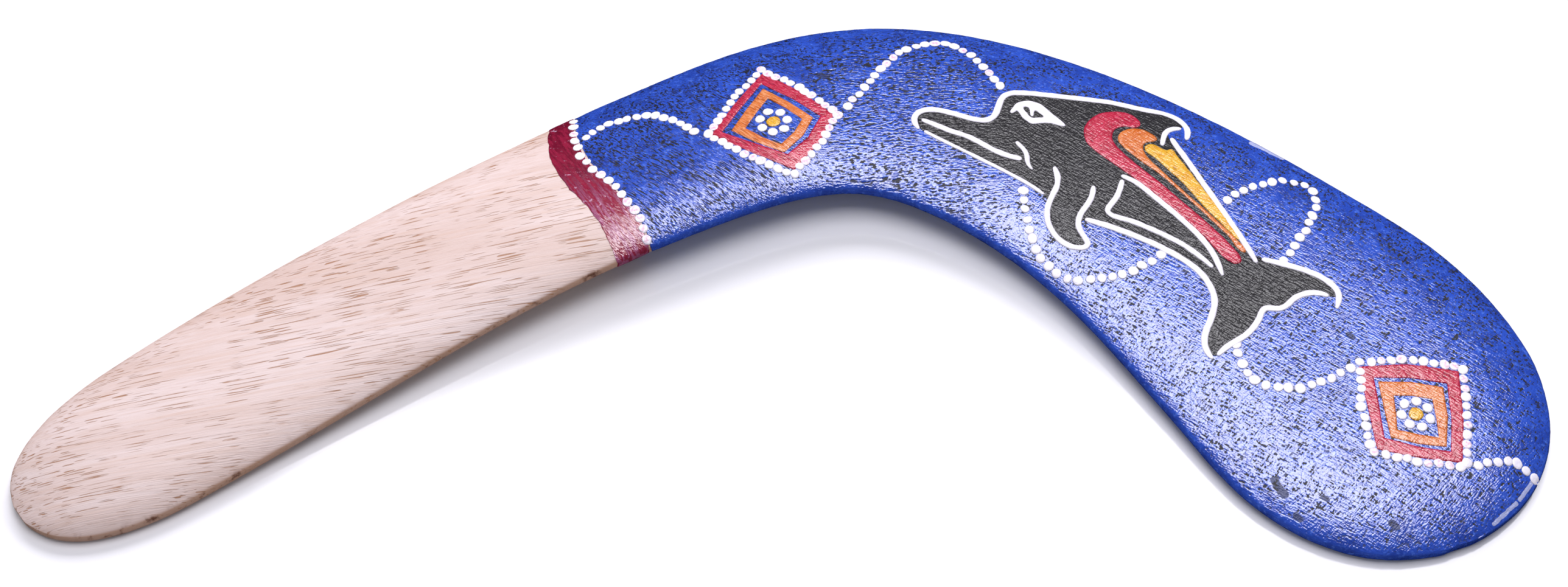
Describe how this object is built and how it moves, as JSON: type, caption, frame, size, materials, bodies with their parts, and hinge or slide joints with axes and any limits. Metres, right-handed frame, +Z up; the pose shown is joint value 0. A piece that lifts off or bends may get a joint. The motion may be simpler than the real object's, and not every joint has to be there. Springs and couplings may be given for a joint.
{
  "type": "boomerang",
  "caption": "Two-armed wooden throwing toy with a bare narrow handle and a broad painted blade, decorated with a dolphin, diamonds and trails of dots.",
  "frame": {"origin": "centre of the bounding box's footprint, on the surface that the boomerang lies on", "axes": "+X from the handle's end to the blade's end, +Y towards the outside of the elbow, +Z up out of the crowned, painted face"},
  "size_m": [0.401, 0.1698, 0.0169],
  "materials": {
    "bare_wood": "bare, sanded, open-pored, matt",
    "blue_paint": "brushed acrylic ground coat, semi-gloss, pitted",
    "crimson_paint": "brushed acrylic, semi-gloss",
    "red_paint": "acrylic, semi-gloss",
    "orange_paint": "acrylic, semi-gloss",
    "yellow_paint": "acrylic, semi-gloss",
    "black_paint": "acrylic, semi-gloss, scratched by the brush",
    "white_paint": "thick acrylic dots and lines, semi-gloss"
  },
  "bodies": {
    "root": {"arch_dots": "white_paint", "back_loop_dots": "white_paint", "band_dots": "white_paint", "belly_loop_dots": "white_paint", "blade_diamond_dots": "white_paint", "blade_diamond_orange_frame": "orange_paint", "blade_diamond_red_frame": "red_paint", "blade_rosette_centre": "yellow_paint", "blade_rosette_petal_1": "white_paint", "blade_rosette_petal_2": "white_paint", "blade_rosette_petal_3": "white_paint", "blade_rosette_petal_4": "white_paint", "blade_rosette_petal_5": "white_paint", "blade_rosette_petal_6": "white_paint", "blade_rosette_petal_7": "white_paint", "blue_ground_coat": "blue_paint", "crimson_band": "crimson_paint", "dolphin_back_line": "white_paint", "dolphin_belly_line": "white_paint", "dolphin_body": "black_paint", "dolphin_cheek_line": "white_paint", "dolphin_eye": "white_paint", "dolphin_fin_line": "white_paint", "dolphin_flipper_line": "white_paint", "dolphin_fluke_line": "white_paint", "dolphin_head_line": "white_paint", "dolphin_jaw_line": "white_paint", "dolphin_mouth_line": "white_paint", "dolphin_orange_stripe": "orange_paint", "dolphin_panel_line": "white_paint", "dolphin_red_stripe": "red_paint", "dolphin_side_line": "white_paint", "dolphin_tail_line": "white_paint", "dolphin_yellow_stripe": "yellow_paint", "elbow_diamond_dots": "white_paint", "elbow_diamond_orange_frame": "orange_paint", "elbow_diamond_red_frame": "red_paint", "elbow_rosette_centre": "yellow_paint", "elbow_rosette_petal_1": "white_paint", "elbow_rosette_petal_2": "white_paint", "elbow_rosette_petal_3": "white_paint", "elbow_rosette_petal_4": "white_paint", "elbow_rosette_petal_5": "white_paint", "elbow_rosette_petal_6": "white_paint", "elbow_rosette_petal_7": "white_paint", "rim_dots": "white_paint", "tail_loop_dots": "white_paint", "wave_dots": "white_paint", "wood_body": "bare_wood"}
  },
  "joints": []
}
